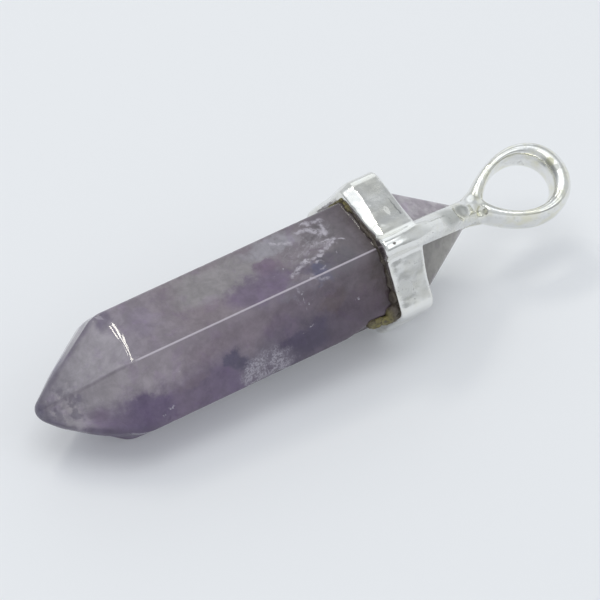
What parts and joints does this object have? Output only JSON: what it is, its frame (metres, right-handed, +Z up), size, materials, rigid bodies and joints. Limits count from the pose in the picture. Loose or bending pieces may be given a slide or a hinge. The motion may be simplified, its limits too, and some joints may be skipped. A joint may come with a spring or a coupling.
{
  "type": "crystal point pendant",
  "caption": "Six-sided crystal point held in a cast collar with two straps and a teardrop bail, worn on a chain or cord through the bail's eye.",
  "frame": {"origin": "on the table, under the middle of the pendant's box", "axes": "+X runs along the pendant from the stone's lower point to the bail, +Z is up, and the pendant lies as it rests on a table"},
  "size_m": [0.0398, 0.0106, 0.0099],
  "materials": {
    "amethyst": "polished, milky mauve-grey to violet, with clouds and white wisps and worn edges",
    "cement": "dull, dark olive-brown and lumpy",
    "silver": "cast silver plate, bright, softly lumpy and slightly mottled"
  },
  "bodies": {
    "root": {"stone": "amethyst", "cement": "cement", "setting": "silver"}
  },
  "joints": []
}
